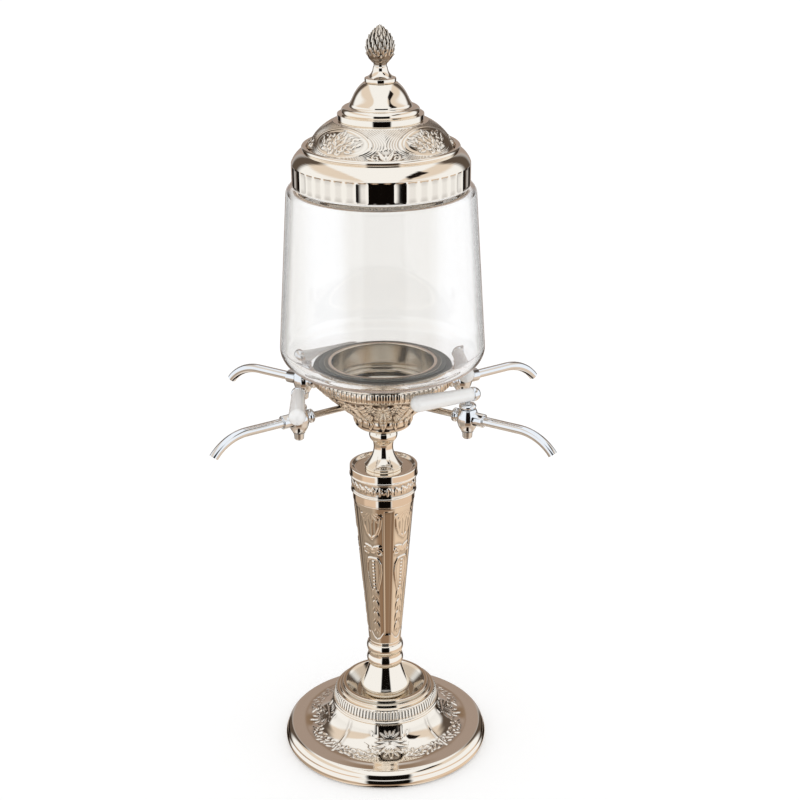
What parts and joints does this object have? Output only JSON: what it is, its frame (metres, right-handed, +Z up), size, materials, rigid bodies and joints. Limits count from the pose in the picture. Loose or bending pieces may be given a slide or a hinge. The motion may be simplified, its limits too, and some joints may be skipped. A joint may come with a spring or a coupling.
{
  "type": "liquor dispenser",
  "caption": "Table fountain for chilled water and spirits: a clear glass jar under a domed lid, on a tall ornate metal stand with lever taps round the cup below it.",
  "frame": {"origin": "centre of the rest pad's underside, on the table", "axes": "+Z up along the stem; +X to the right of the pictured front, between the two right-hand taps; -Y towards the front"},
  "size_m": [0.2324, 0.1594, 0.5372],
  "materials": {
    "nickel": "polished warm nickel plate",
    "chrome": "polished chrome plate",
    "glass": "clear blown glass",
    "porcelain": "glazed white porcelain",
    "rubber": "matt black rubber",
    "steel": "plain steel",
    "iron": "as cast",
    "felt": "dark felt"
  },
  "bodies": {
    "stand": {"base_pad": "felt", "base_shell": "nickel", "base_weight": "iron", "base_washer": "steel", "base_nut": "steel", "tie_rod": "steel", "cup_seal": "rubber", "cup_nut": "steel", "stem_foot": "nickel", "stem_collar": "nickel", "column": "nickel", "column_head": "nickel", "neck": "nickel", "cup": "nickel", "well_ring": "nickel", "clamp_ring": "nickel", "jar_gasket": "rubber", "clamp_gasket": "rubber", "jar": "glass", "tap_body_front_right": "chrome", "spout_front_right": "chrome", "tap_body_front_left": "chrome", "spout_front_left": "chrome", "tap_body_rear_left": "chrome", "spout_rear_left": "chrome", "tap_body_rear_right": "chrome", "spout_rear_right": "chrome"},
    "lid": {"lid_band": "nickel", "lid_seal": "rubber", "lid_dome": "nickel", "lid_cap": "nickel", "finial": "nickel", "lid_washer": "steel", "lid_nut": "steel"},
    "plug_front_right": {"plug_front_right": "chrome", "plug_washer_front_right": "steel", "plug_nut_front_right": "chrome", "lever_grip_front_right": "porcelain", "lever_pin_front_right": "chrome"},
    "plug_front_left": {"plug_front_left": "chrome", "plug_washer_front_left": "steel", "plug_nut_front_left": "chrome", "lever_grip_front_left": "porcelain", "lever_pin_front_left": "chrome"},
    "plug_rear_left": {"plug_rear_left": "chrome", "plug_washer_rear_left": "steel", "plug_nut_rear_left": "chrome", "lever_grip_rear_left": "porcelain", "lever_pin_rear_left": "chrome"},
    "plug_rear_right": {"plug_rear_right": "chrome", "plug_washer_rear_right": "steel", "plug_nut_rear_right": "chrome", "lever_grip_rear_right": "porcelain", "lever_pin_rear_right": "chrome"}
  },
  "joints": [
    {"name": "lid_lift", "type": "slide", "parent": "stand", "child": "lid", "axis": [0, 0, 1], "range_m": [0, 0.08]},
    {"name": "tap_turn_front_right", "type": "hinge", "parent": "stand", "child": "plug_front_right", "pos_m": [0.05795, -0.03836, 0.2765], "axis": [0, 0, 1], "range_deg": [0, 90]},
    {"name": "tap_turn_front_left", "type": "hinge", "parent": "stand", "child": "plug_front_left", "pos_m": [-0.05795, -0.03836, 0.2765], "axis": [0, 0, -1], "range_deg": [0, 90]},
    {"name": "tap_turn_rear_left", "type": "hinge", "parent": "stand", "child": "plug_rear_left", "pos_m": [-0.05795, 0.03836, 0.2765], "axis": [0, 0, 1], "range_deg": [0, 90]},
    {"name": "tap_turn_rear_right", "type": "hinge", "parent": "stand", "child": "plug_rear_right", "pos_m": [0.05795, 0.03836, 0.2765], "axis": [0, 0, 1], "range_deg": [0, 90]}
  ]
}
